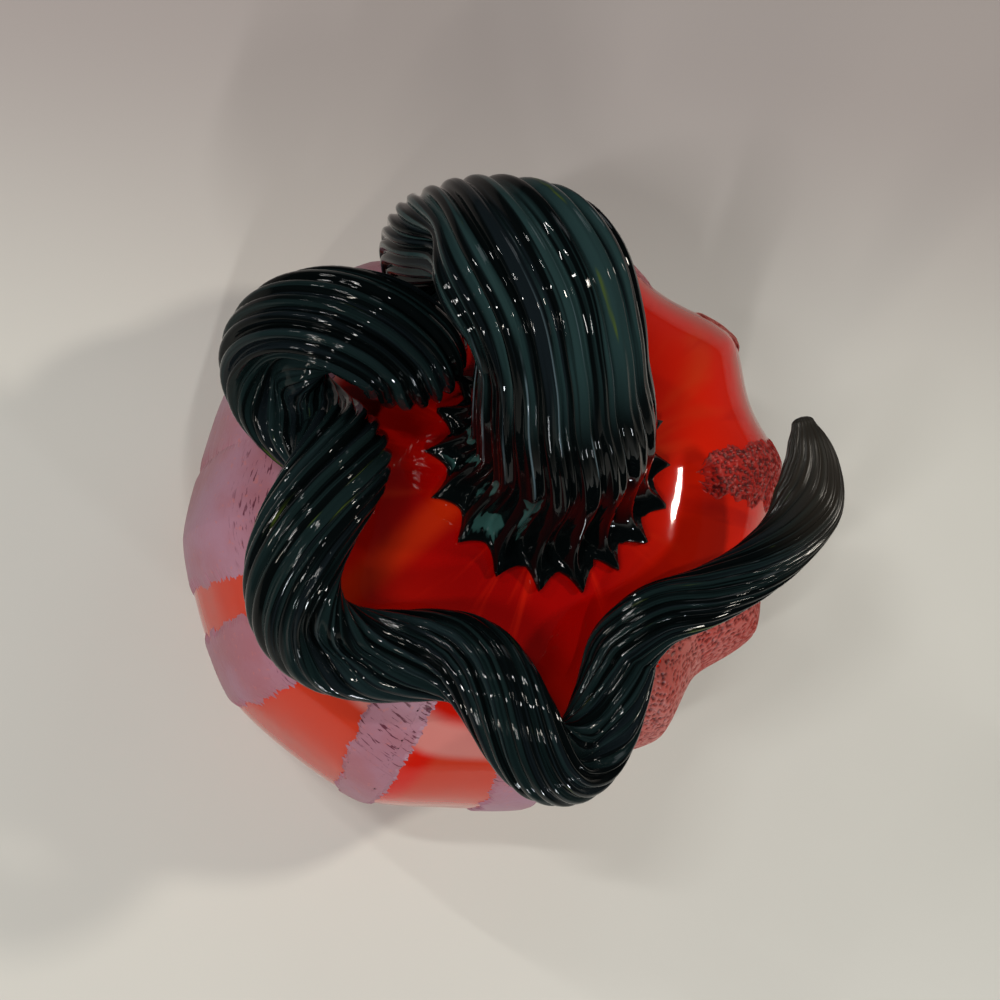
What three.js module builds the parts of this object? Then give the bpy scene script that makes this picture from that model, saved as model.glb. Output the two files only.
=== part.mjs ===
// Blown glass pumpkin, in millimetres, +Z up, origin at the middle of its ground base.
// A hollow body is blown in a ribbed mould, a strip of coloured crust is fused along each rib,
// and a ribbed strand is sealed over the blowing hole, arched over and curled round the crown.
import * as THREE from 'three';

// Body
const bodyRadius = 76; // over the rib crests, before it is drawn oval
const bodyHeight = 92; // to the crown, before it is dished
const bellyHeight = 46; // level of the widest part
const ovality = 0.06; // share that the long axis gains and the short one loses
const longAxisAzimuth = 41; // degrees
const baseRadius = 36; // flat that the pumpkin stands on
const crownPower = 2.3; // 2 is an ellipse, more is squarer
const dishDepth = 5;
const dishRadius = 26;
const wall = 5;
const floorThickness = 8;
const blowHoleRadius = 12;

// Ribs of the body
const ribCount = 12;
const firstRibAzimuth = 5; // degrees
const fluteDepth = 5;
const fluteSharpness = 1.3; // 1 is a ridge, 2 is a wave
const fluteFade = 1.5; // how soon the flutes fade below the belly

// Crust along each rib
const crustGap = 0.35;
const crustThickness = 0.8;
const crustLowEnd = -48; // degrees of the side profile, 0 at the belly
const crustHighEnd = 40;
const crustSpread = 10; // degrees to either side of the crest
const crustTear = 1.7; // degrees that the torn edge goes in and out
const crustEndSpread = 4;
const crustFullness = 0.5; // 1 swells as a wave between the ends, less is squarer

// Foot of the stem
const footX = -1; // middle of the foot, a little off the hole
const footY = 5.5;
const footRadius = 31.5; // over the tips of the teeth
const toothDepth = 5.5;
const footEdge = 2.2;
const footFillet = 6;
const seatGap = 0.3;
const plugGap = 0.3;
const plugLength = 8;

// Ribbed strand of the stem
const strandRibCount = 18;
const strandRibDepth = 0.11; // of the strand's radius, as the ribs thin with it
const twistStart = 40; // length along the strand at which it begins to be wrung
const twistRamp = 45; // stretch over which the twist comes in
const twistPitch = 165; // length of one full turn of the ribs
const archTop = 71; // length along the strand to the top of the arch
const archStretch = 45; // length to either side of the top over which the arch is flattened
const archFlatness = 0.6; // thickness over width at the top of the arch
const restGap = 1.5; // to the body, over the crust
const pinchLength = 52; // flattened stretch at the tip
const pinchFlatness = 0.5; // thickness over width at the tip

// Arch: x, y, height over the foot, half width of the strand
const arch = [
  [footX, footY, 0, 26],
  [footX, footY, 4, 25],
  [-4.5, 8, 16, 22.4],
  [-12.8, 15.8, 34, 21.2],
  [-18, 23, 45.5, 21],
  [-24, 31.5, 51, 21.5],
  [-30, 39, 49, 20.5],
  [-35, 45.6, 40.5, 16.3],
  [-37, 49.3, 27.5, 12.2],
];

// Turn under the arch: x, y, lift over where the strand would rest on the body, strand radius
const turnUnder = [
  [-35.4, 50.4, 10.5, 9.8],
  [-32, 41.4, 0.6, 9],
  [-34.2, 27.2, 1.8, 9],
];

// Curls round the crown, one value at the start of each and one at the end
const curls = {
  azimuth: [149.5, 178, 235, 289],
  ringRadius: [60, 67.3, 62, 51],
  swing: [13.2, 9.6, 10, 11],
  rise: [8.8, 16.2, 8.5, 6],
  lift: [12.1, 10.8, 7, 3],
  strandRadius: [13.1, 10.8, 10.2, 8.4],
};
const curlSteps = 12;

// Run out to the tip: x, y, lift over where the strand would rest, half width
const runOut = [
  [17.5, -33.5, 5.5, 7.7],
  [30.5, -28.5, 9, 7.2],
  [43.5, -22, 11.5, 7.1],
  [54, -13.5, 14, 7.7],
  [59.5, -4.5, 15, 9.1],
  [60, 4, 17.5, 7.6],
  [58.5, 10, 20.5, 5.3],
  [57.5, 13.5, 23, 3.2],
];

// Fineness of the meshes
const columnsPerRib = 6;
const bellySteps = 6;
const crownSteps = 10;
const liningSteps = 5;
const crustRows = 12;
const footShares = [0, 0.35, 0.7]; // rings under the foot, from the plug out
const strandRows = 100;

const { degToRad, radToDeg, lerp, smoothstep } = THREE.MathUtils;
const redGlass = { color: 0xa01a0c, roughness: 0.08, metalness: 0 };
const darkGlass = { color: 0x16221f, roughness: 0.08, metalness: 0 };
const mauveCrust = { color: 0x8c6672, roughness: 0.6, metalness: 0 };

// A closed solid through rings of points, each ring anticlockwise seen from the next
function ringSolid(rings) {
  const count = rings[0].length;
  const faces = [];
  for (let row = 0; row + 1 < rings.length; row += 1) {
    for (let column = 0; column < count; column += 1) {
      const here = row * count + column;
      const beside = row * count + ((column + 1) % count);
      faces.push(here, beside, beside + count);
      faces.push(here, beside + count, here + count);
    }
  }
  const last = (rings.length - 1) * count;
  for (let low = 0, high = count - 1; low + 1 < high; low += 1, high -= 1) {
    faces.push(low, high - 1, low + 1);
    faces.push(last + low, last + low + 1, last + high - 1);
    if (high - low > 2) {
      faces.push(low, high, high - 1);
      faces.push(last + low, last + high - 1, last + high);
    }
  }
  const geometry = new THREE.BufferGeometry();
  geometry.setFromPoints(rings.flat());
  geometry.setIndex(faces);
  geometry.computeVertexNormals();
  return geometry;
}

function piece(name, geometry, surface) {
  const mesh = new THREE.Mesh(geometry, new THREE.MeshStandardMaterial(surface));
  mesh.name = name;
  return mesh;
}

// A smooth value along a list of equally spaced ones
function along(values, place) {
  const spline = new THREE.SplineCurve(values.map((value) => new THREE.Vector2(value, 0)));
  return spline.getPoint(place / (values.length - 1)).x;
}

// Height of a dished crown over a belly of this radius
function crownHeight(radius, belly, crown) {
  const share = Math.min(radius / belly, 1);
  const swell = (1 - share ** crownPower) ** (1 / crownPower);
  const dish = dishDepth * Math.exp(-((radius / dishRadius) ** 2));
  return bellyHeight + (crown - bellyHeight) * swell - dish;
}

const bodyTop = (radius) => crownHeight(radius, bodyRadius, bodyHeight);

// Share by which the oval body is wider or narrower in this direction
const oval = (azimuth) => 1 + ovality * Math.cos(2 * degToRad(azimuth - longAxisAzimuth));
const round = () => 1;

// Height of the underside of the foot, just clear of the crown
function seatHeight(x, y) {
  const azimuth = radToDeg(Math.atan2(y, x));
  return bodyTop(Math.hypot(x, y) / oval(azimuth)) + seatGap;
}

// Height of the middle of a ball that rests on the body at this distance from the axis
function restHeight(radius, azimuth, ball) {
  const steps = 40;
  let height = 0;
  for (let step = 0; step <= steps; step += 1) {
    const reach = lerp(-ball, ball, step / steps);
    const over = Math.sqrt(ball * ball - reach * reach);
    height = Math.max(height, bodyTop(Math.abs(radius + reach) / oval(azimuth)) + over);
  }
  return height;
}

// Side profile by its angle: -90 at the base, 0 at the belly, 90 at the axis
function sidePoint(angle) {
  const turn = degToRad(angle);
  if (angle < 0) {
    const radius = lerp(baseRadius, bodyRadius, Math.cos(turn));
    return new THREE.Vector2(radius, bellyHeight * (1 + Math.sin(turn)));
  }
  const radius = bodyRadius * Math.cos(turn);
  return new THREE.Vector2(radius, bodyTop(radius));
}

// A point of the profile, moved out by the thickness of a skin
function skinPoint(angle, skin) {
  const step = 0.1;
  const rise = sidePoint(angle + step).sub(sidePoint(angle - step)).normalize();
  return sidePoint(angle).add(new THREE.Vector2(rise.y, -rise.x).multiplyScalar(skin));
}

// A point of the fluted body, or of a skin over it
function bodyPoint(angle, azimuth, skin) {
  const side = skinPoint(angle, skin);
  const wave = Math.abs(Math.sin((ribCount / 2) * degToRad(azimuth - firstRibAzimuth)));
  const fade = (side.x / bodyRadius) ** 2 * Math.min(side.y / bellyHeight, 1) ** fluteFade;
  const flute = fluteDepth * fade * wave ** fluteSharpness;
  const turn = degToRad(azimuth);
  const radius = (side.x - flute) * oval(azimuth);
  return new THREE.Vector3(radius * Math.cos(turn), radius * Math.sin(turn), side.y);
}

function levelRing(radius, height, azimuths, shape) {
  return azimuths.map((azimuth) => {
    const reach = radius * shape(azimuth);
    const turn = degToRad(azimuth);
    return new THREE.Vector3(reach * Math.cos(turn), reach * Math.sin(turn), height);
  });
}

// Hollow body: up the fluted outside, in through the blowing hole and down the smooth lining
function body() {
  const columns = ribCount * columnsPerRib;
  const azimuths = Array.from({ length: columns }, (_, k) => firstRibAzimuth + (360 * k) / columns);
  const holeAngle = radToDeg(Math.acos(blowHoleRadius / bodyRadius));
  const rings = [];
  for (let step = 0; step < bellySteps; step += 1) {
    const angle = lerp(-90, 0, step / bellySteps);
    rings.push(azimuths.map((azimuth) => bodyPoint(angle, azimuth, 0)));
  }
  for (let step = 0; step < crownSteps; step += 1) {
    const angle = lerp(0, holeAngle, step / crownSteps);
    rings.push(azimuths.map((azimuth) => bodyPoint(angle, azimuth, 0)));
  }
  const liningBelly = bodyRadius - fluteDepth - wall;
  const liningBase = baseRadius - wall;
  const liningTop = (radius) => crownHeight(radius, liningBelly, bodyHeight - wall);
  const liningHole = Math.acos(blowHoleRadius / liningBelly);
  rings.push(levelRing(blowHoleRadius, bodyTop(blowHoleRadius), azimuths, round));
  rings.push(levelRing(blowHoleRadius, liningTop(blowHoleRadius), azimuths, round));
  for (let step = liningSteps - 1; step > 0; step -= 1) {
    const radius = liningBelly * Math.cos((liningHole * step) / liningSteps);
    rings.push(levelRing(radius, liningTop(radius), azimuths, oval));
  }
  for (let step = 0; step <= liningSteps; step += 1) {
    const turn = (Math.PI / 2) * (step / liningSteps);
    const radius = lerp(liningBase, liningBelly, Math.cos(turn));
    rings.push(levelRing(radius, lerp(bellyHeight, floorThickness, Math.sin(turn)), azimuths, oval));
  }
  return ringSolid(rings);
}

// Crust on one rib: a thin strip over the crest with torn edges and narrow ends
function ribCrust(rib) {
  const crest = firstRibAzimuth + (360 * rib) / ribCount;
  const rings = [];
  for (let row = 0; row <= crustRows; row += 1) {
    const share = row / crustRows;
    const angle = lerp(crustLowEnd, crustHighEnd, share);
    const spread = lerp(crustEndSpread, crustSpread, Math.sin(Math.PI * share) ** crustFullness);
    const left = spread + crustTear * (row % 2 === 0 ? 1 : -1);
    const right = spread + crustTear * ((row + rib) % 2 === 0 ? 1 : -1);
    const azimuths = [-left, -left / 2, 0, right / 2, right].map((offset) => crest + offset);
    const outside = azimuths.map((azimuth) => bodyPoint(angle, azimuth, crustGap + crustThickness));
    const inside = azimuths.map((azimuth) => bodyPoint(angle, azimuth, crustGap));
    rings.push([...outside, ...inside.reverse()]);
  }
  return ringSolid(rings);
}

// Route of the strand: its points and the strand's radius at each
function strandRoute() {
  const footHeight = seatHeight(footX, footY - footRadius);
  const points = [];
  const radii = [];
  const add = (x, y, z, radius) => {
    points.push(new THREE.Vector3(x, y, z));
    radii.push(radius);
  };
  const addResting = ([x, y, lift, radius]) => {
    const azimuth = radToDeg(Math.atan2(y, x));
    add(x, y, restHeight(Math.hypot(x, y), azimuth, radius + restGap) + lift, radius);
  };
  for (const [x, y, height, radius] of arch) {
    add(x, y, footHeight + height, radius);
  }
  turnUnder.forEach(addResting);
  const turns = curls.azimuth.length - 1;
  for (let step = 1; step < turns * curlSteps; step += 1) {
    const turn = step / curlSteps;
    const phase = 2 * Math.PI * turn;
    const azimuth = along(curls.azimuth, turn);
    const ring = along(curls.ringRadius, turn);
    const reach = ring - along(curls.swing, turn) * Math.cos(phase);
    const radius = along(curls.strandRadius, turn);
    const middle = restHeight(ring, azimuth, radius + restGap) + along(curls.rise, turn);
    const height = middle + along(curls.lift, turn) * Math.sin(phase);
    add(reach * Math.cos(degToRad(azimuth)), reach * Math.sin(degToRad(azimuth)), height, radius);
  }
  runOut.forEach(addResting);
  return { curve: new THREE.CatmullRomCurve3(points, false, 'centripetal'), radii };
}

// Reach of a flattened section of the strand in this direction
function sectionReach({ radius, flat, thin }, toward) {
  return radius * Math.sqrt(1 - (1 - flat ** 2) * toward.dot(thin) ** 2);
}

// Least gap between two stretches of the strand that aren't next to each other
function leastGap(sections, spacing) {
  const apart = 1.35;
  let least = Infinity;
  sections.forEach((here, first) => {
    sections.slice(first + 1).forEach((there, step) => {
      if ((step + 1) * spacing > apart * (here.radius + there.radius)) {
        const between = there.middle.clone().sub(here.middle);
        const toward = between.clone().normalize();
        const reach = sectionReach(here, toward) + sectionReach(there, toward);
        least = Math.min(least, between.length() - reach);
      }
    });
  });
  return least;
}

// Turn of the ribs about the strand at this length along it
function twist(distance) {
  const past = Math.max(distance - twistStart, 0);
  const ramped = Math.min(past, twistRamp) ** 2 / (2 * twistRamp);
  return (2 * Math.PI * (ramped + Math.max(past - twistRamp, 0))) / twistPitch;
}

// Stem in one pulled length: plug, toothed foot, arch, curls and pinched tip
function stem() {
  const { curve, radii } = strandRoute();
  const frames = curve.computeFrenetFrames(strandRows, false);
  const length = curve.getLength();
  const columns = strandRibCount * 2;
  const turns = Array.from({ length: columns }, (_, k) => (2 * Math.PI * k) / columns);
  const around = (row, turn) => {
    const out = frames.normals[row].clone().multiplyScalar(Math.cos(turn));
    return out.addScaledVector(frames.binormals[row], Math.sin(turn));
  };
  const plugRadius = blowHoleRadius - plugGap;
  const footRing = (share, lift, teeth) => turns.map((turn, column) => {
    const radius = lerp(plugRadius, footRadius, share) - (column % 2) * teeth;
    const out = around(0, turn).multiplyScalar(radius);
    out.x += footX * share;
    out.y += footY * share;
    return out.setZ(seatHeight(out.x, out.y) + lift);
  });
  const rings = [
    footRing(0, -plugLength, 0),
    ...footShares.map((share) => footRing(share, 0, 0)),
    footRing(1, 0, toothDepth),
    footRing(1, footEdge, toothDepth),
  ];
  const sections = [];
  const firstRow = Math.ceil((footFillet * strandRows) / length);
  for (let row = firstRow; row <= strandRows; row += 1) {
    const share = row / strandRows;
    const middle = curve.getPointAt(share);
    const radius = along(radii, curve.getUtoTmapping(share) * (radii.length - 1));
    const distance = share * length;
    const pinch = smoothstep(distance, length - pinchLength, length);
    const bend = 1 - smoothstep(Math.abs(distance - archTop), 0, archStretch);
    const flat = lerp(1, archFlatness, bend) * lerp(1, pinchFlatness, pinch);
    const tangent = frames.tangents[row];
    const thin = new THREE.Vector3(0, 0, 1).addScaledVector(tangent, -tangent.z).normalize();
    const ribDepth = strandRibDepth * (1 - pinch);
    const wrung = twist(distance);
    rings.push(turns.map((turn, column) => {
      const out = around(row, turn + wrung).multiplyScalar(radius * (1 - (column % 2) * ribDepth));
      out.addScaledVector(thin, (flat - 1) * out.dot(thin));
      return out.add(middle);
    }));
    sections.push({ middle, radius, flat, thin });
  }
  const gap = leastGap(sections, length / strandRows);
  console.log(`least gap of the strand to itself: ${gap.toFixed(2)} mm over ${length.toFixed(0)} mm`);
  return ringSolid(rings);
}

const pumpkin = new THREE.Group();
pumpkin.add(piece('body', body(), redGlass));
pumpkin.add(piece('stem', stem(), darkGlass));
for (let rib = 0; rib < ribCount; rib += 1) {
  const name = `rib_crust_${String(rib + 1).padStart(2, '0')}`;
  pumpkin.add(piece(name, ribCrust(rib), mauveCrust));
}

export default pumpkin;
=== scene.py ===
import math
import random
import bmesh
import bpy
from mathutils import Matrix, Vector, noise


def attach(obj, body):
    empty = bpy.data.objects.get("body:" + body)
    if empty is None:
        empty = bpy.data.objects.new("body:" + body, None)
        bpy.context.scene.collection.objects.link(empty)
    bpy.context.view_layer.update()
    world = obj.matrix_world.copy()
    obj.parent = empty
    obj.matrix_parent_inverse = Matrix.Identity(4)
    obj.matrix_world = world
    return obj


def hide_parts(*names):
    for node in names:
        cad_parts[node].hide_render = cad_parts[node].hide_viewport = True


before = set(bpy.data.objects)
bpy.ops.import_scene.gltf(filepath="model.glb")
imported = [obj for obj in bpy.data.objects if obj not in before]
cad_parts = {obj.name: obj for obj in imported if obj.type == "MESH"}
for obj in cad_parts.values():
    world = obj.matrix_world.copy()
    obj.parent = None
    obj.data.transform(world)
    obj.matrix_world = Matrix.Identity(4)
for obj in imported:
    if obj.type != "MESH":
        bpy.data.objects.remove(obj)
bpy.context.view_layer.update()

# Blown body
# A hollow bubble of red and orange glass, blown into a mould with twelve flutes: it came out a little
# oval and swollen on the right. Its base is ground flat, and its dished crown has the blowing hole.
body_radius = 0.076
body_height = 0.092
belly_height = 0.046
base_radius = 0.036
ovality = 0.06
long_axis = math.radians(41)
crown_power = 2.3
dish_depth = 0.005
dish_radius = 0.026
wall = 0.005
floor_thickness = 0.008
blow_hole_radius = 0.012
rib_count = 12
rib_pitch = 2 * math.pi / rib_count
first_rib = math.radians(5)
flute_depth = 0.005
flute_sharpness = 1.3
shallow_flute = 0.45
full_flute_cosine = 0.6
flute_fade = 1.5
rib_drift = math.radians(5)
drift_middle = math.radians(7)
drift_reach = math.radians(20)
bulge_depth = 0.0045
bulge_middle = math.radians(8)
bulge_flat = math.radians(30)
bulge_reach = math.radians(52)


def blend(low, high, share):
    return low + (high - low) * share


def ease(low, high, value):
    share = min(max((value - low) / (high - low), 0), 1)
    return share * share * (3 - 2 * share)


def oval(azimuth):
    return 1 + ovality * math.cos(2 * (azimuth - long_axis))


def crown_height(radius, belly, crown):
    swell = (1 - min(radius / belly, 1) ** crown_power) ** (1 / crown_power)
    dish = dish_depth * math.exp(-((radius / dish_radius) ** 2))
    return belly_height + (crown - belly_height) * swell - dish


def body_top(radius):
    return crown_height(radius, body_radius, body_height)


def side_point(angle):
    """Radius and height of the side: -90 degrees at the base's edge, 0 at the belly, 90 at the axis."""
    if angle < 0:
        radius = blend(base_radius, body_radius, math.cos(angle))
        return Vector((radius, belly_height * (1 + math.sin(angle))))
    radius = body_radius * math.cos(angle)
    return Vector((radius, body_top(radius)))


def drift(azimuth):
    """How far the rib on the right slid from its even place as the bubble sagged."""
    aside = math.remainder(azimuth - drift_middle, 2 * math.pi)
    return rib_drift * math.exp(-((aside / drift_reach) ** 2))


def bulge(azimuth):
    """How far the bubble swelled past its oval on the right."""
    aside = abs(math.remainder(azimuth - bulge_middle, 2 * math.pi))
    return bulge_depth * ease(bulge_reach, bulge_flat, aside)


def rib_wave(azimuth):
    """0 on the crest of a rib, 1 in the valley between two."""
    return abs(math.sin(rib_count / 2 * (azimuth - drift(azimuth) - first_rib))) ** flute_sharpness


def body_point(angle, azimuth, skin):
    """A point of the fluted side, or of a skin over it."""
    step = math.radians(0.1)
    rise = (side_point(angle + step) - side_point(angle - step)).normalized()
    side = side_point(angle) + skin * Vector((rise.y, -rise.x))
    fade = (side.x / body_radius) ** 2 * min(max(side.y, 0) / belly_height, 1) ** flute_fade
    depth = flute_depth * blend(shallow_flute, 1, ease(0, full_flute_cosine, math.cos(azimuth)))
    radius = (side.x + fade * (bulge(azimuth) - depth * rib_wave(azimuth))) * oval(azimuth)
    return Vector((radius * math.cos(azimuth), radius * math.sin(azimuth), side.y))


def piece_from(name, mesh, material):
    """Turns a finished bmesh into an object with that material."""
    for face in mesh.faces:
        face.smooth = True
    data = bpy.data.meshes.new(name)
    mesh.to_mesh(data)
    mesh.free()
    data.materials.append(material)
    made = bpy.data.objects.new(name, data)
    bpy.context.scene.collection.objects.link(made)
    return made


side_rows = 96
lining_rows = 16
merge_distance = 1e-6
hole_margin = 1e-5
columns_per_rib = 24
body_columns = rib_count * columns_per_rib
hole_angle = math.acos(blow_hole_radius / body_radius)
lining_belly = body_radius - flute_depth - wall
lining_hole = math.acos(blow_hole_radius / lining_belly)

outside = [blend(-math.pi / 2, hole_angle, row / side_rows) for row in range(side_rows + 1)]
profile = [Vector((0, 0))] + [side_point(angle) for angle in outside]
for row in range(lining_rows, -1, -1):
    radius = lining_belly * math.cos(lining_hole * row / lining_rows)
    profile.append(Vector((radius, crown_height(radius, lining_belly, body_height - wall))))
for row in range(1, lining_rows + 1):
    turn = math.pi / 2 * row / lining_rows
    radius = blend(base_radius - wall, lining_belly, math.cos(turn))
    profile.append(Vector((radius, blend(belly_height, floor_thickness, math.sin(turn)))))
profile.append(Vector((0, floor_thickness)))

body_mesh = bmesh.new()
angle_of = body_mesh.verts.layers.float.new("side_angle")
shell_of = body_mesh.verts.layers.float.new("outside")
place_of = body_mesh.verts.layers.float_vector.new("rib_place")
spine = [body_mesh.verts.new((point.x, 0, point.y)) for point in profile]
lines = [body_mesh.edges.new(pair) for pair in zip(spine, spine[1:])]
for vert, angle in zip(spine[1:], outside):
    vert[angle_of] = angle
    vert[shell_of] = 1
bmesh.ops.spin(
    body_mesh, geom=spine + lines, cent=(0, 0, 0), axis=(0, 0, 1),
    angle=2 * math.pi, steps=body_columns, use_merge=True,
)
bmesh.ops.remove_doubles(body_mesh, verts=body_mesh.verts, dist=merge_distance)
for vert in body_mesh.verts:
    radius = math.hypot(vert.co.x, vert.co.y)
    azimuth = math.atan2(vert.co.y, vert.co.x)
    vert[place_of] = (rib_wave(azimuth), vert[angle_of], 0)
    if radius < blow_hole_radius + hole_margin:
        continue
    if vert[shell_of]:
        vert.co = body_point(vert[angle_of], azimuth, 0)
    else:
        vert.co = Vector((vert.co.x * oval(azimuth), vert.co.y * oval(azimuth), vert.co.z))
bmesh.ops.recalc_face_normals(body_mesh, faces=body_mesh.faces)


def add_node(tree, kind, inputs=None, **settings):
    """A node with its settings, and its inputs set to a value or linked to a socket."""
    made = tree.nodes.new(kind)
    for name, value in settings.items():
        setattr(made, name, value)
    for socket, value in (inputs or {}).items():
        if isinstance(value, bpy.types.NodeSocket):
            tree.links.new(value, made.inputs[socket])
        else:
            made.inputs[socket].default_value = value
    return made


def add_math(tree, operation, first, second=0.0):
    made = add_node(tree, "ShaderNodeMath", {0: first, 1: second}, operation=operation)
    return made.outputs[0]


def add_product(tree, first, *others):
    """All of these masks multiplied."""
    for other in others:
        first = add_math(tree, "MULTIPLY", first, other)
    return first


def add_range(tree, value, low, high):
    """0 at low, 1 at high, eased between them."""
    made = add_node(
        tree, "ShaderNodeMapRange",
        {"Value": value, "From Min": low, "From Max": high}, interpolation_type="SMOOTHSTEP",
    )
    return made.outputs["Result"]


def add_mix(tree, share, first, second):
    """A colour between two, by a share."""
    made = add_node(tree, "ShaderNodeMix", {0: share, 6: first, 7: second}, data_type="RGBA")
    return made.outputs[2]


def new_group(name, inputs, outputs):
    """An empty shader group with these sockets, and its inner ends."""
    group = bpy.data.node_groups.new(name, "ShaderNodeTree")
    for label, kind in inputs.items():
        group.interface.new_socket(label, in_out="INPUT", socket_type=kind)
    for label, kind in outputs.items():
        group.interface.new_socket(label, in_out="OUTPUT", socket_type=kind)
    start = group.nodes.new("NodeGroupInput")
    end = group.nodes.new("NodeGroupOutput")
    return group, start.outputs, end.inputs


def new_material(name):
    """A material with its Principled shader, ready for nodes."""
    material = bpy.data.materials.new(name)
    material.use_nodes = True
    tree = material.node_tree
    return material, tree, tree.nodes["Principled BSDF"].inputs


# Streaks along the flow: the place's third number runs along the flow. Besides colour drawn out in the
# glass, they place painted sheen and painted glints on the stem.
streaks, given, out = new_group(
    "drawn streaks",
    {
        "Place": "NodeSocketVector", "Across": "NodeSocketFloat", "Along": "NodeSocketFloat",
        "Low": "NodeSocketFloat", "High": "NodeSocketFloat",
    },
    {"Mask": "NodeSocketFloat"},
)
split = add_node(streaks, "ShaderNodeSeparateXYZ", {0: given["Place"]}).outputs
stretched = add_node(streaks, "ShaderNodeCombineXYZ", {
    0: add_math(streaks, "MULTIPLY", split[0], given["Across"]),
    1: add_math(streaks, "MULTIPLY", split[1], given["Across"]),
    2: add_math(streaks, "MULTIPLY", split[2], given["Along"]),
}).outputs[0]
drawn = add_node(
    streaks, "ShaderNodeTexNoise",
    {"Vector": stretched, "Scale": 1.0, "Detail": 3.0, "Roughness": 0.55, "Distortion": 0.3},
).outputs["Fac"]
streaks.links.new(add_range(streaks, drawn, given["Low"], given["High"]), out["Mask"])


def add_streaks(tree, place, across, along, low, high):
    made = add_node(tree, "ShaderNodeGroup", node_tree=streaks)
    tree.links.new(place, made.inputs["Place"])
    for label, value in (("Across", across), ("Along", along), ("Low", low), ("High", high)):
        made.inputs[label].default_value = value
    return made.outputs["Mask"]


under_stem_shade_red = (0.30, 0.001, 0.0005, 1)
bright_red = (0.49, 0.008, 0.002, 1)
painted_glow_red = (0.62, 0.012, 0.002, 1)
orange = (0.57, 0.030, 0.006, 1)
band_orange = (0.46, 0.018, 0.002, 1)
window_orange = (0.46, 0.034, 0.014, 1)
salmon = (0.50, 0.20, 0.18, 1)
# Where each colour sets in and where it is full, by reach, x, sine of the azimuth, side angle or valley
bright_reach = (0.030, 0.066)
painted_glow_x = (0.005, 0.045)
streak_sine = (-0.6, -0.2)
window_angle = (0.66, 0.50)
window_valley = (0.02, 0.3)
ring_outer_angle = (0.50, 0.56)
ring_inner_angle = (0.74, 0.66)
ring_x = (0.030, -0.015)
ring_strength = 0.85
# One broad streak on the left: its direction, the way across it, its distance from the axis and its ends
band_along = (0.754, 0.657, 0)
band_aside = (-0.657, 0.754, 0)
band_offset = 0.0133
band_half_width = (0.006, 0.001)
band_end = (-0.016, -0.026)
band_height = (0.06, 0.075)

red_glass, tree, shader = new_material("streaked red glass")
position = add_node(tree, "ShaderNodeTexCoord").outputs["Object"]
x, y, z = add_node(tree, "ShaderNodeSeparateXYZ", {0: position}).outputs
around = add_node(
    tree, "ShaderNodeVectorMath",
    {0: add_node(tree, "ShaderNodeCombineXYZ", {0: x, 1: y}).outputs[0]}, operation="NORMALIZE",
).outputs[0]
reach = add_node(
    tree, "ShaderNodeVectorMath",
    {0: add_node(tree, "ShaderNodeCombineXYZ", {0: x, 1: y}).outputs[0]}, operation="LENGTH",
).outputs["Value"]
turn_x, turn_y, _ = add_node(tree, "ShaderNodeSeparateXYZ", {0: around}).outputs
flow = add_node(tree, "ShaderNodeCombineXYZ", {
    0: turn_x, 1: turn_y, 2: add_math(tree, "SUBTRACT", reach, z),
}).outputs[0]
rib_place = add_node(tree, "ShaderNodeAttribute", attribute_name="rib_place").outputs["Vector"]
valley, side_angle, _ = add_node(tree, "ShaderNodeSeparateXYZ", {0: rib_place}).outputs
# Painted shade: the red darkens towards the axis, where the stem shades the crown.
colour = add_mix(tree, add_range(tree, reach, *bright_reach), under_stem_shade_red, bright_red)
# Painted glow: the red brightens towards the right, the lit side, as light shining through the glass would.
colour = add_mix(tree, add_range(tree, x, *painted_glow_x), colour, painted_glow_red)
broad_streaks = add_streaks(tree, flow, across=2.2, along=9.0, low=0.50, high=0.68)
orange_streaks = add_product(tree, broad_streaks, add_range(tree, turn_y, *streak_sine))
colour = add_mix(tree, orange_streaks, colour, orange)
fine_streaks = add_streaks(tree, flow, across=6.0, along=14.0, low=0.56, high=0.72)
colour = add_mix(tree, fine_streaks, colour, bright_red)
band_side = add_node(
    tree, "ShaderNodeVectorMath", {0: position, 1: band_aside}, operation="DOT_PRODUCT",
).outputs["Value"]
band_run = add_node(
    tree, "ShaderNodeVectorMath", {0: position, 1: band_along}, operation="DOT_PRODUCT",
).outputs["Value"]
off_band = add_math(tree, "ABSOLUTE", add_math(tree, "SUBTRACT", band_side, band_offset))
band = add_product(
    tree, add_range(tree, off_band, *band_half_width),
    add_range(tree, band_run, *band_end), add_range(tree, z, *band_height),
)
colour = add_mix(tree, band, colour, band_orange)
window = add_product(
    tree, add_range(tree, side_angle, *window_angle), add_range(tree, valley, *window_valley),
)
colour = add_mix(tree, window, colour, window_orange)
pink_ring = add_product(
    tree, add_range(tree, side_angle, *ring_outer_angle), add_range(tree, side_angle, *ring_inner_angle),
    add_range(tree, x, *ring_x), ring_strength,
)
colour = add_mix(tree, pink_ring, colour, salmon)
tree.links.new(colour, shader["Base Color"])
swirl = add_node(
    tree, "ShaderNodeTexNoise", {"Vector": position, "Scale": 55.0, "Detail": 2.0},
).outputs["Fac"]
waviness = add_node(
    tree, "ShaderNodeBump", {"Strength": 0.25, "Distance": 0.0008, "Height": swirl},
).outputs["Normal"]
tree.links.new(waviness, shader["Normal"])
shader["Roughness"].default_value = 0.05
shader["IOR"].default_value = 1.5
shader["Specular IOR Level"].default_value = 0.35

blown_body = piece_from("blown_body", body_mesh, red_glass)
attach(blown_body, "root")
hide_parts("body")

# Crust along the ribs
# The hot bubble was rolled over crushed mauve glass, which stuck to the crests alone. The mould
# stretched each strip: its edges are torn, and on the right it broke up into a pitted rose net.
crust_low = math.radians(-48)
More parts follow.
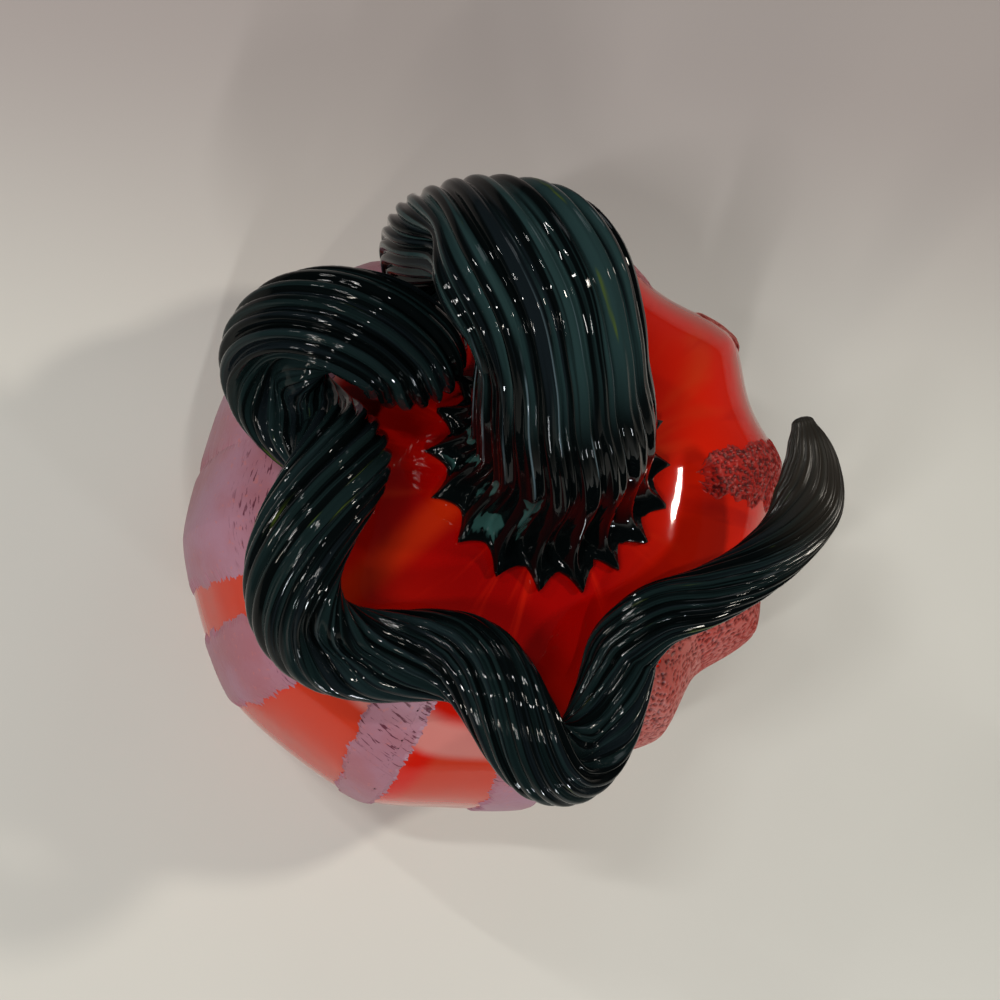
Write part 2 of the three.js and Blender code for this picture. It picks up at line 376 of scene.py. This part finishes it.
# Degrees, one value a strip: half width at the foot and at the top, angle of the top, slide and lean
strip_foot_spread = [8, 5, 8, 5, 5, 18, 12, 7, 3, 5, 18, 18]
strip_top_spread = [8, 6, 10, 9, 9, 18, 16, 9, 7, 7, 18, 18]
strip_top = [60, 22, 30, 30, 30, 40, 40, 42, 46, 46, 46, 42]
strip_shift = [0, 3, 0, 0, 0, 0, 0, -5, 5, 0, 0, 0]
strip_lean = [-4, 0, 0, 0, 0, 0, -4, 0, -16, -9, 0, 0]
spread_start = 0.3
# Cosines of the azimuth at which a strip starts to break up or to scorch, and has fully done so
broken_cosine = (0.2, 0.6)
scorched_cosine = (0.85, 0.98)
crust_tear = math.radians(1.2)
crust_fray = math.radians(1.2)
tear_pitch = 0.007
fray_pitch = 0.0011
top_tear = 3 * crust_tear
top_tears = 2
top_frays = 16
scorched_tear = 2 * crust_tear
tear_seed, top_tear_seed, top_fray_seed, fray_seed = 0, 3, 5, 9
right_edge_seed = 100
foot_rounding = (-0.02, 0.10)
top_rounding = (-0.01, 0.05)
rim_start = 0.75
rim_end = 0.05
crust_thickness = 0.0006
crust_sink = 0.00015
backing_thickness = 0.0001
pit_depth = 0.0005
pit_pitch = 0.0012
pit_core = 0.30
pit_edge = 0.50
scorched_pit = 0.15
strip_spacing = 0.05
strip_columns = 100
strip_rows = 280

lilac = (0.32, 0.16, 0.22, 1)
mauve = (0.30, 0.11, 0.14, 1)
rose = (0.40, 0.07, 0.055, 1)
pale_rose = (0.47, 0.14, 0.12, 1)
scorched = (0.36, 0.010, 0.005, 1)
dark_plum = (0.09, 0.012, 0.03, 1)
pit_red = (0.08, 0.003, 0.003, 1)
dash_height = (0.086, 0.098)
dash_roughness = (0.3, 0.0)
lilac_cloud = (0.35, 0.65)
pale_cloud = (0.4, 0.65)
speck_grain = (0.62, 0.72)
speck_strength = 0.4

crust_glass, tree, shader = new_material("crackled mauve crust")
position = add_node(tree, "ShaderNodeTexCoord").outputs["Object"]
marks = add_node(tree, "ShaderNodeAttribute", attribute_name="crust_marks").outputs["Vector"]
pit, burnt, rough = add_node(tree, "ShaderNodeSeparateXYZ", {0: marks}).outputs
strip_place = add_node(tree, "ShaderNodeAttribute", attribute_name="strip_place").outputs["Vector"]
height = add_node(tree, "ShaderNodeSeparateXYZ", {0: strip_place}).outputs[0]
cloud = add_node(
    tree, "ShaderNodeTexNoise", {"Vector": position, "Scale": 45.0, "Detail": 4.0},
).outputs["Fac"]
grain = add_node(
    tree, "ShaderNodeTexNoise", {"Vector": position, "Scale": 700.0, "Detail": 2.0},
).outputs["Fac"]
colour = add_mix(tree, add_range(tree, cloud, *lilac_cloud), mauve, lilac)
rosy = add_mix(tree, add_range(tree, cloud, *pale_cloud), rose, pale_rose)
colour = add_mix(tree, rough, colour, add_mix(tree, burnt, rosy, scorched))
dashes = add_product(
    tree, add_streaks(tree, strip_place, across=900.0, along=220.0, low=0.56, high=0.64),
    add_range(tree, height, *dash_height), add_range(tree, rough, *dash_roughness),
)
colour = add_mix(tree, dashes, colour, dark_plum)
specks = add_product(tree, add_range(tree, grain, *speck_grain), speck_strength)
colour = add_mix(tree, specks, colour, pale_rose)
colour = add_mix(tree, pit, colour, pit_red)
tree.links.new(colour, shader["Base Color"])
relief = add_node(
    tree, "ShaderNodeBump", {"Strength": 0.3, "Distance": 0.0003, "Height": grain},
).outputs["Normal"]
tree.links.new(relief, shader["Normal"])
shader["Roughness"].default_value = 0.42
shader["Specular IOR Level"].default_value = 0.3
shader["IOR"].default_value = 1.5

for rib in range(rib_count):
    even = first_rib + rib_pitch * rib
    crest = even + drift(even + drift(even))
    broken = ease(*broken_cosine, math.cos(crest))
    scorch = ease(*scorched_cosine, math.cos(crest))
    top_angle = math.radians(strip_top[rib])
    foot_spread = math.radians(strip_foot_spread[rib])
    top_spread = math.radians(strip_top_spread[rib])
    strip = bmesh.new()
    bmesh.ops.create_grid(strip, x_segments=strip_columns, y_segments=strip_rows, size=1)
    marks_of = strip.verts.layers.float_vector.new("crust_marks")
    strip_of = strip.verts.layers.float_vector.new("strip_place")
    for vert in strip.verts:
        across, up = vert.co.x, (vert.co.y + 1) / 2
        ragged = top_tear * noise.noise((across * top_tears, rib, top_tear_seed))
        ragged += crust_fray * noise.noise((across * top_frays, rib, top_fray_seed))
        angle = blend(crust_low, top_angle + ragged, up)
        level = body_radius * (angle - crust_low)
        edge = rib + (right_edge_seed if across > 0 else 0)
        tear = crust_tear + scorched_tear * scorch
        spread = blend(foot_spread, top_spread, ease(spread_start, 1, up))
        spread += tear * noise.noise((level / tear_pitch, edge, tear_seed))
        spread += crust_fray * noise.noise((level / fray_pitch, edge, fray_seed))
        spread *= math.sqrt(ease(*foot_rounding, up) * ease(*top_rounding, 1 - up))
        azimuth = crest + math.radians(strip_shift[rib] + strip_lean[rib] * up) + across * spread
        nearest = noise.voronoi(body_point(angle, azimuth, 0) / pit_pitch)[0][0]
        pitted = broken * (1 - ease(pit_core, pit_edge + scorched_pit * scorch, nearest))
        rim = max(ease(rim_start, 1, abs(across)), ease(rim_end, 0, 1 - up), ease(rim_end, 0, up))
        skin = blend(crust_thickness - pit_depth * pitted, -crust_sink, rim)
        vert[marks_of] = (pitted, scorch, broken)
        vert[strip_of] = (level, strip_spacing * rib, body_radius * across * spread)
        vert.co = body_point(angle, azimuth, skin)
    bmesh.ops.recalc_face_normals(strip, faces=strip.faces)
    crust = piece_from(f"crust_strip_{rib + 1:02d}", strip, crust_glass)
    backing = crust.modifiers.new("backing", "SOLIDIFY")
    backing.thickness = backing_thickness
    backing.offset = -1
    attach(crust, "root")
    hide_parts(f"rib_crust_{rib + 1:02d}")

# Stem
# One gather of black-green glass, ribbed in an optic mould: its end is pressed over the blowing hole,
# where the ribs splay into teeth, and the rest is pulled up, arched over, curled and pinched off.
foot_middle = Vector((-0.001, 0.0055))
foot_radius = 0.0315
tooth_depth = 0.0055
tooth_roundness = 0.8
tooth_unevenness = 0.0008
foot_edge = 0.0022
edge_bulge = 0.0004
flare_height = 0.022
tooth_ridge = 0.0012
seat_gap = 0.0003
plug_gap = 0.0003
plug_radius = blow_hole_radius - plug_gap
plug_length = 0.008
stem_ribs = 18
rib_depth = 0.12
rib_unevenness = 0.05
rib_waves = 4
pinched_rib = 0.3
twist_start = 0.040
twist_ramp = 0.045
twist_pitch = 0.165
arch_top = 0.071
arch_stretch = 0.045
arch_flatness = 0.6
rest_gap = 0.0015
pinch_length = 0.052
pinch_flatness = 0.5
# Arch: x, y, height over the foot, half width
arch = [
    (foot_middle.x, foot_middle.y, 0, 0.026),
    (foot_middle.x, foot_middle.y, 0.004, 0.025),
    (-0.0045, 0.008, 0.016, 0.0224),
    (-0.0128, 0.0158, 0.034, 0.0212),
    (-0.018, 0.023, 0.0455, 0.021),
    (-0.024, 0.0315, 0.051, 0.0215),
    (-0.030, 0.039, 0.049, 0.0205),
    (-0.035, 0.0456, 0.0405, 0.0163),
    (-0.037, 0.0493, 0.0275, 0.0122),
]
# Turn under the arch and run out to the tip: x, y, lift over where the strand would rest, half width
turn_under = [
    (-0.0354, 0.0504, 0.0105, 0.0098),
    (-0.032, 0.0414, 0.0006, 0.009),
    (-0.0342, 0.0272, 0.0018, 0.009),
]
run_out = [
    (0.0175, -0.0335, 0.0055, 0.0077),
    (0.0305, -0.0285, 0.009, 0.0072),
    (0.0435, -0.022, 0.0115, 0.0071),
    (0.054, -0.0135, 0.014, 0.0077),
    (0.0595, -0.0045, 0.015, 0.0091),
    (0.06, 0.004, 0.0175, 0.0076),
    (0.0585, 0.01, 0.0205, 0.0053),
    (0.0575, 0.0135, 0.023, 0.0032),
]
# Hollows pressed in at the folds: middle, distance along the strand, half length, half width, depth
hollows = [
    (Vector((-0.0737, 0.0140, 0.1045)), 0.196, 0.012, 0.0065, 0.008),
    (Vector((-0.0620, -0.0425, 0.1055)), 0.286, 0.011, 0.005, 0.006),
    (Vector((0.0022, -0.0632, 0.1056)), 0.367, 0.010, 0.0045, 0.005),
    (Vector((-0.0493, 0.0405, 0.1260)), 0.091, 0.010, 0.008, 0.007),
]
hollow_reach = 3
# Curls round the crown, one value at the start of each and one at the end
curl_azimuth = [149.5, 178, 235, 289]
curl_ring = [0.060, 0.0673, 0.062, 0.051]
curl_swing = [0.0132, 0.0096, 0.010, 0.011]
curl_rise = [0.0088, 0.0162, 0.0085, 0.006]
curl_lift = [0.0121, 0.0108, 0.007, 0.003]
curl_radius = [0.0131, 0.0108, 0.0102, 0.0084]
curl_steps = 12
rest_steps = 40
spline_steps = 30
columns_per_stem_rib = 12
stem_columns = stem_ribs * columns_per_stem_rib
strand_rows = 400


def seat_height(x, y):
    return body_top(math.hypot(x, y) / oval(math.atan2(y, x))) + seat_gap


def rest_height(reach, azimuth, ball):
    """Height of the middle of a ball that rests on the body at this reach from the axis."""
    tops = []
    for step in range(rest_steps + 1):
        aside = blend(-ball, ball, step / rest_steps)
        over = math.sqrt(max(ball * ball - aside * aside, 0))
        tops.append(body_top(abs(reach + aside) / oval(azimuth)) + over)
    return max(tops)


def hermite(here, slope_here, after, slope_after, share):
    """A cubic between two values that leaves and arrives with these slopes."""
    return (
        here * (2 * share**3 - 3 * share**2 + 1) + slope_here * (share**3 - 2 * share**2 + share)
        + after * (3 * share**2 - 2 * share**3) + slope_after * (share**3 - share**2)
    )


def smooth_step(before, here, after, beyond, share):
    """A smooth curve between the two middle values of four."""
    return hermite(here, (after - before) / 2, after, (beyond - here) / 2, share)


def along(values, place):
    """A smooth value along a list of equally spaced ones."""
    last = len(values) - 1
    first = min(int(place), last - 1)
    near = [values[min(max(first + step, 0), last)] for step in (-1, 0, 1, 2)]
    return smooth_step(*near, place - first)


foot_height = seat_height(foot_middle.x, foot_middle.y - foot_radius)
route = [Vector((x, y, foot_height + height)) for x, y, height, _ in arch]
radii = [radius for *_, radius in arch]


def add_resting(points):
    for x, y, lift, radius in points:
        height = rest_height(math.hypot(x, y), math.atan2(y, x), radius + rest_gap) + lift
        route.append(Vector((x, y, height)))
        radii.append(radius)


add_resting(turn_under)
for step in range(1, (len(curl_azimuth) - 1) * curl_steps):
    turn = step / curl_steps
    azimuth = math.radians(along(curl_azimuth, turn))
    ring_reach = along(curl_ring, turn)
    radius = along(curl_radius, turn)
    reach = ring_reach - along(curl_swing, turn) * math.cos(2 * math.pi * turn)
    height = rest_height(ring_reach, azimuth, radius + rest_gap) + along(curl_rise, turn)
    height += along(curl_lift, turn) * math.sin(2 * math.pi * turn)
    route.append(Vector((reach * math.cos(azimuth), reach * math.sin(azimuth), height)))
    radii.append(radius)
add_resting(run_out)


def centripetal(points, segment, share):
    """A point of the centripetal spline between two of its points."""
    here, after = points[segment], points[segment + 1]
    before = points[segment - 1] if segment > 0 else 2 * here - after
    beyond = points[segment + 2] if segment + 2 < len(points) else 2 * after - here
    first = math.sqrt((here - before).length)
    middle = math.sqrt((after - here).length)
    last = math.sqrt((beyond - after).length)
    slope_here = (here - before) / first - (after - before) / (first + middle) + (after - here) / middle
    slope_after = (after - here) / middle - (beyond - here) / (middle + last) + (beyond - after) / last
    return hermite(here, slope_here * middle, after, slope_after * middle, share)


fine = [
    (centripetal(route, segment, step / spline_steps), along(radii, segment + step / spline_steps))
    for segment in range(len(route) - 1) for step in range(spline_steps)
]
fine.append((route[-1], radii[-1]))
run = [0.0]
for (here, _), (after, _) in zip(fine, fine[1:]):
    run.append(run[-1] + (after - here).length)
strand_length = run[-1]

# Even rows along the strand, each with its middle, its radius and a frame carried on without twisting
rows = []
cursor = 0
for row in range(strand_rows + 1):
    target = strand_length * row / strand_rows
    while cursor + 2 < len(run) and run[cursor + 1] < target:
        cursor += 1
    share = (target - run[cursor]) / (run[cursor + 1] - run[cursor])
    middle = fine[cursor][0].lerp(fine[cursor + 1][0], share)
    rows.append((target, middle, blend(fine[cursor][1], fine[cursor + 1][1], share)))
tangents = [
    (rows[min(row + 1, strand_rows)][1] - rows[max(row - 1, 0)][1]).normalized()
    for row in range(strand_rows + 1)
]
normal = Vector((-1, 0, 0))
normals = []
for row, tangent in enumerate(tangents):
    if row:
        normal = tangents[row - 1].rotation_difference(tangent) @ normal
    normal = (normal - tangent * normal.dot(tangent)).normalized()
    normals.append(normal.copy())

rng = random.Random(5)
tooth_length = [rng.uniform(-tooth_unevenness, tooth_unevenness) for _ in range(stem_ribs)]
rib_shift = [
    (rng.uniform(-rib_unevenness, rib_unevenness), rng.uniform(0, 2 * math.pi)) for _ in range(rib_waves)
]


def rib_angle(turn):
    """The ribs aren't quite evenly spaced."""
    shifts = [
        size * math.sin(wave * turn + phase) / wave for wave, (size, phase) in enumerate(rib_shift, start=1)
    ]
    return turn + sum(shifts)


def tooth_reach(turn):
    """Reach of the foot's edge: a point at each rib, a hollow between two."""
    nearest = tooth_length[round(rib_angle(turn) / (2 * math.pi) * stem_ribs) % stem_ribs]
    hollow = abs(math.sin(stem_ribs / 2 * rib_angle(turn))) ** tooth_roundness
    return foot_radius + nearest - tooth_depth * hollow


groove_sharpness = 4
split_depth = 0.45
split_sharpness = 6
split_start = (0.010, 0.022)
split_end = (0.070, 0.045)
groove_unevenness = 0.5
patches_around, patches_along = 2.2, 17.6
fine_depth = 0.10
lines_around, lines_along, lines_seed = 9, 6, 40


def groove(turn, distance):
    """How deep the surface is drawn in: broad ribs with narrow grooves, split in two on the riser."""
    main = abs(math.sin(stem_ribs / 2 * rib_angle(turn))) ** groove_sharpness
    on_riser = ease(*split_start, distance) * ease(*split_end, distance)
    main += split_depth * on_riser * abs(math.cos(stem_ribs / 2 * rib_angle(turn))) ** split_sharpness
    ring = Vector((math.cos(turn), math.sin(turn), 0))
    up = Vector((0, 0, distance))
    deep = 1 + groove_unevenness * noise.noise(ring * patches_around + up * patches_along)
    fine_line = noise.noise(ring * lines_around + up * lines_along + Vector((0, 0, lines_seed)))
    return main * deep + fine_depth * fine_line


# The stem from the plug to the tip, as rows of one long tube
under_shares = [0, 0.2, 0.4, 0.6, 0.8]
edge_shares = [0, 0.35, 0.7, 1]
flare_rows = 14
neck_rows = 4
skip_rows = math.ceil(flare_height / strand_length * strand_rows)
round_rows = 8
splay_length = 0.02
stages = [("plug", 0)]
stages += [("under", share) for share in under_shares]
stages += [("edge", share) for share in edge_shares]
stages += [("flare", step / flare_rows) for step in range(1, flare_rows)]
stages += [("strand", row) for row in range(skip_rows, strand_rows + 1)]
stages += [("end", step / round_rows) for step in range(1, round_rows + 1)]


def twist(distance):
    """Turn of the ribs about the strand, which was wrung evenly from the bend of the arch on."""
    ramped = min(max(distance - twist_start, 0), twist_ramp) ** 2 / (2 * twist_ramp)
    return 2 * math.pi * (ramped + max(distance - twist_start - twist_ramp, 0)) / twist_pitch


def spoke(row, turn):
    turn += twist(rows[row][0])
    binormal = tangents[row].cross(normals[row])
    return normals[row] * math.cos(turn) + binormal * math.sin(turn)


def strand_point(row, turn, swell):
    distance, middle, radius = rows[row]
    pinch = ease(strand_length - pinch_length, strand_length, distance)
    ribbing = rib_depth * (1 - pinched_rib * pinch) * groove(turn, distance)
    out = spoke(row, turn) * radius * swell * (1 - ribbing)
    tangent = tangents[row]
    thin = (Vector((0, 0, 1)) - tangent * tangent.z).normalized()
    bend = 1 - ease(0, arch_stretch, abs(distance - arch_top))
    flat = blend(1, arch_flatness, bend) * blend(1, pinch_flatness, pinch)
    out += thin * (flat - 1) * out.dot(thin)
    for hollow, at, half_length, half_width, depth in hollows:
        if abs(distance - at) < hollow_reach * half_length:
            away = middle + out - hollow
            lengthwise = away.dot(tangent)
            aside = (away - tangent * lengthwise).length
            press = math.exp(-((lengthwise / half_length) ** 2) - (aside / half_width) ** 2)
            out -= out.normalized() * depth * press
    return middle + out


def foot_point(share, turn, lift, reach):
    """A point over the crown, between the plug and the edge of the foot."""
    flat = spoke(0, turn) * blend(plug_radius, reach, share)
    x, y = flat.x + foot_middle.x * share, flat.y + foot_middle.y * share
    return Vector((x, y, seat_height(x, y) + lift))


def stem_point(stage, share, turn):
    if stage == "plug":
        return foot_point(0, turn, -plug_length, 0)
    if stage == "under":
        return foot_point(share, turn, 0, foot_radius - tooth_depth)
    if stage == "edge":
        rounding = edge_bulge * math.sin(math.pi * share)
        return foot_point(1, turn, foot_edge * share, tooth_reach(turn) + rounding)
    if stage == "flare":
        tip = foot_point(1, turn, foot_edge, tooth_reach(turn))
        neck = strand_point(skip_rows, turn, 1)
        span = (neck - tip).length
        inward = span * Vector((neck.x - tip.x, neck.y - tip.y, 0)).normalized()
        upward = span * (strand_point(skip_rows + neck_rows, turn, 1) - neck).normalized()
        place = hermite(tip, inward, neck, upward, share)
        place.z += tooth_ridge * math.sin(math.pi * share) * math.cos(stem_ribs * rib_angle(turn))
        return place
    if stage == "strand":
        return strand_point(share, turn, 1)
    swell = math.sqrt(max(1 - share * share, 0))
    ahead = tangents[-1] * rows[-1][2] * pinch_flatness * share
    return strand_point(strand_rows, turn, swell) + ahead


def run_of(stage, share):
    """Distance along the strand, below zero on the foot."""
    if stage == "strand":
        return rows[share][0]
    if stage == "end":
        return strand_length
    return -splay_length * (1 - share) if stage == "flare" else -splay_length


stem_mesh = bmesh.new()
bmesh.ops.create_grid(stem_mesh, x_segments=stem_columns, y_segments=len(stages) - 1, size=1)
strand_of = stem_mesh.verts.layers.float_vector.new("strand_place")
flank_of = stem_mesh.verts.layers.float.new("rib_flank")
for vert in stem_mesh.verts:
    turn = math.pi * (vert.co.x + 1)
    stage, share = stages[round((vert.co.y + 1) / 2 * (len(stages) - 1))]
    vert[strand_of] = (math.cos(turn), math.sin(turn), run_of(stage, share))
    vert[flank_of] = math.sin(stem_ribs * rib_angle(turn))
    vert.co = stem_point(stage, share, turn)
bmesh.ops.remove_doubles(stem_mesh, verts=stem_mesh.verts, dist=merge_distance)
bmesh.ops.holes_fill(stem_mesh, edges=[edge for edge in stem_mesh.edges if edge.is_boundary])
bmesh.ops.recalc_face_normals(stem_mesh, faces=stem_mesh.faces)

black_green = (0.0012, 0.0022, 0.0024, 1)
teal_and_sheen = (0.014, 0.032, 0.033, 1)
pale_teal_sheen = (0.022, 0.066, 0.061, 1)
slate = (0.005, 0.008, 0.010, 1)
pale_streak_and_glint = (0.08, 0.12, 0.14, 1)
olive = (0.050, 0.075, 0.012, 1)
smoke = (0.024, 0.020, 0.016, 1)
# Where each colour sets in and is full, by distance along the strand, rib flank or facing to the left
arch_run = (0.035, 0.055)
curl_run = (0.09, 0.14)
curl_teal = 0.35
line_start_run = (0.016, 0.030)
line_end_run = (0.075, 0.050)
line_flank = (0.94, 1.0)
facet_start_run = (-0.020, -0.016)
facet_end_run = (0.002, -0.006)
facet_left = (-0.05, 0.45)
smoke_run = (strand_length - 0.045, strand_length - 0.012)
smoke_strength = 0.75
polish = 0.03
tip_dullness = 0.24

dark_glass, tree, shader = new_material("black green glass")
strand_place = add_node(tree, "ShaderNodeAttribute", attribute_name="strand_place").outputs["Vector"]
leftward, _, distance = add_node(tree, "ShaderNodeSeparateXYZ", {0: strand_place}).outputs
rib_flank = add_node(tree, "ShaderNodeAttribute", attribute_name="rib_flank").outputs["Fac"]
past_riser = add_range(tree, distance, *arch_run)
on_curls = add_node(
    tree, "ShaderNodeMapRange",
    {"Value": distance, "From Min": curl_run[0], "From Max": curl_run[1],
     "To Min": 1.0, "To Max": curl_teal},
).outputs["Result"]
slate_streaks = add_streaks(tree, strand_place, across=5.0, along=12.0, low=0.50, high=0.62)
colour = add_mix(tree, add_product(tree, slate_streaks, past_riser), black_green, slate)
# Teal streaks, strongest over the arch and fainter on the curls: partly the glass's own colour, partly a
# painted sheen of reflected light.
teal_streaks_and_sheen = add_streaks(tree, strand_place, across=6.0, along=10.0, low=0.46, high=0.58)
colour = add_mix(tree, add_product(tree, teal_streaks_and_sheen, past_riser, on_curls), colour, teal_and_sheen)
olive_streaks = add_streaks(tree, strand_place, across=5.0, along=40.0, low=0.68, high=0.74)
colour = add_mix(tree, add_product(tree, olive_streaks, past_riser), colour, olive)
# Painted highlights: thin pale lines on the rib crests of the riser, partly pale streaks in the glass and
# partly painted glints.
crest_streaks_and_glints = add_product(
    tree, add_streaks(tree, strand_place, across=4.0, along=25.0, low=0.42, high=0.54),
    add_range(tree, rib_flank, *line_flank),
    add_range(tree, distance, *line_start_run), add_range(tree, distance, *line_end_run),
)
colour = add_mix(tree, crest_streaks_and_glints, colour, pale_streak_and_glint)
# Painted sheen: pale teal patches on the flat facets of the teeth that face left.
facet_sheen = add_product(
    tree, add_streaks(tree, strand_place, across=3.5, along=60.0, low=0.56, high=0.59),
    add_range(tree, leftward, *facet_left),
    add_range(tree, distance, *facet_start_run), add_range(tree, distance, *facet_end_run),
)
colour = add_mix(tree, facet_sheen, colour, pale_teal_sheen)
tip = add_range(tree, distance, *smoke_run)
colour = add_mix(tree, add_product(tree, tip, smoke_strength), colour, smoke)
tree.links.new(colour, shader["Base Color"])
lines_drawn = add_streaks(tree, strand_place, across=14.0, along=6.0, low=0.35, high=0.65)
drawn_lines = add_node(
    tree, "ShaderNodeBump", {"Strength": 0.12, "Distance": 0.0004, "Height": lines_drawn},
).outputs["Normal"]
tree.links.new(drawn_lines, shader["Normal"])
dulled = add_node(
    tree, "ShaderNodeMapRange", {"Value": tip, "To Min": polish, "To Max": tip_dullness},
).outputs["Result"]
tree.links.new(dulled, shader["Roughness"])
shader["Specular IOR Level"].default_value = 0.12
shader["IOR"].default_value = 1.5

curled_stem = piece_from("curled_stem", stem_mesh, dark_glass)
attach(curled_stem, "root")
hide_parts("stem")

# Studio
# A pale matt table top that greys towards the back, a dim room, and narrow lamps round the crown
# whose bright faces glint on the ribs.
table_half = 2
table_pale = (0.55, 0.545, 0.51, 1)
table_bright = (0.60, 0.595, 0.555, 1)
table_grey = (0.38, 0.34, 0.33, 1)
grey_start = (0.02, 0.16)
horizon = (0.07, 0.07, 0.07, 1)
ceiling = (0.03, 0.033, 0.036, 1)
ceiling_rise = (0.0, 0.45)

floor_mesh = bmesh.new()
bmesh.ops.create_grid(floor_mesh, x_segments=1, y_segments=1, size=table_half)
pale_paint, tree, shader = new_material("pale table")
position = add_node(tree, "ShaderNodeTexCoord").outputs["Object"]
mottle = add_node(
    tree, "ShaderNodeTexNoise", {"Vector": position, "Scale": 9.0, "Detail": 4.0},
).outputs["Fac"]
backward = add_node(tree, "ShaderNodeSeparateXYZ", {0: position}).outputs[1]
pale = add_mix(tree, mottle, table_pale, table_bright)
paint = add_mix(tree, add_range(tree, backward, *grey_start), pale, table_grey)
tree.links.new(paint, shader["Base Color"])
shader["Roughness"].default_value = 0.6
table_top = piece_from("table_top", floor_mesh, pale_paint)

room = bpy.data.worlds.new("room")
bpy.context.scene.world = room
room.use_nodes = True
tree = room.node_tree
direction = add_node(tree, "ShaderNodeTexCoord").outputs["Generated"]
upness = add_node(tree, "ShaderNodeSeparateXYZ", {0: direction}).outputs[2]
shade = add_mix(tree, add_range(tree, upness, *ceiling_rise), horizon, ceiling)
tree.links.new(shade, tree.nodes["Background"].inputs["Color"])


def way_to(azimuth, tilt):
    """Unit vector at an azimuth and at a tilt from the vertical, both in degrees."""
    flat, steep = math.radians(azimuth), math.radians(tilt)
    return Vector((math.sin(steep) * math.cos(flat), math.sin(steep) * math.sin(flat), math.cos(steep)))


def add_lamp(name, azimuth, tilt, distance, size, radiance, colour):
    """A lamp that faces the crown: its direction in degrees, its sides, and how bright its face is."""
    lamp = bpy.data.lights.new(name, "AREA")
    lamp.shape = "RECTANGLE"
    lamp.size, lamp.size_y = size
    lamp.energy = math.pi * size[0] * size[1] * radiance
    lamp.color = colour
    toward = way_to(azimuth, tilt)
    holder = bpy.data.objects.new(name, lamp)
    holder.location = Vector((0, 0, body_height)) + distance * toward
    holder.rotation_mode = "QUATERNION"
    holder.rotation_quaternion = toward.to_track_quat("Z", "Y")
    bpy.context.scene.collection.objects.link(holder)


warm, neutral, cool = (1.0, 0.93, 0.82), (1.0, 0.98, 0.95), (0.90, 0.96, 1.0)
# Lamps: name, azimuth and tilt in degrees, distance from the crown, sides, brightness, colour
lamps = [
    ("key", 12, 45, 1.2, (0.10, 0.10), 165, warm),
    ("left_strip", 170, 34, 1.1, (0.025, 0.22), 165, neutral),
    ("left_low", 150, 55, 1.0, (0.02, 0.20), 130, neutral),
    ("near_strip", 205, 42, 1.0, (0.025, 0.20), 150, neutral),
    ("near_low", 228, 58, 1.0, (0.02, 0.20), 130, warm),
    ("front_strip", 248, 46, 1.0, (0.025, 0.20), 150, neutral),
    ("low_lamp", 298, 86, 0.5, (0.015, 0.05), 220, cool),
    ("back_box", 62, 62, 1.2, (0.4, 0.3), 2.5, cool),
]
for lamp in lamps:
    add_lamp(*lamp)

# Camera
# Nearly overhead, 25 degrees off the vertical, from the pumpkin's near left.
view_tilt = 25
view_azimuth = 205.5
view_distance = 0.48
view_aim = Vector((0.00113, 0.00287, 0.05254))
toward_camera = way_to(view_azimuth, view_tilt)
lens = bpy.data.cameras.new("camera")
lens.sensor_width = 36
lens.lens = 67.9
camera = bpy.data.objects.new("camera", lens)
camera.location = view_aim + view_distance * toward_camera
camera.rotation_mode = "QUATERNION"
camera.rotation_quaternion = Vector((0, 0, 1)).rotation_difference(toward_camera)
bpy.context.scene.collection.objects.link(camera)
bpy.context.scene.camera = camera
bpy.context.scene.view_settings.view_transform = "Standard"
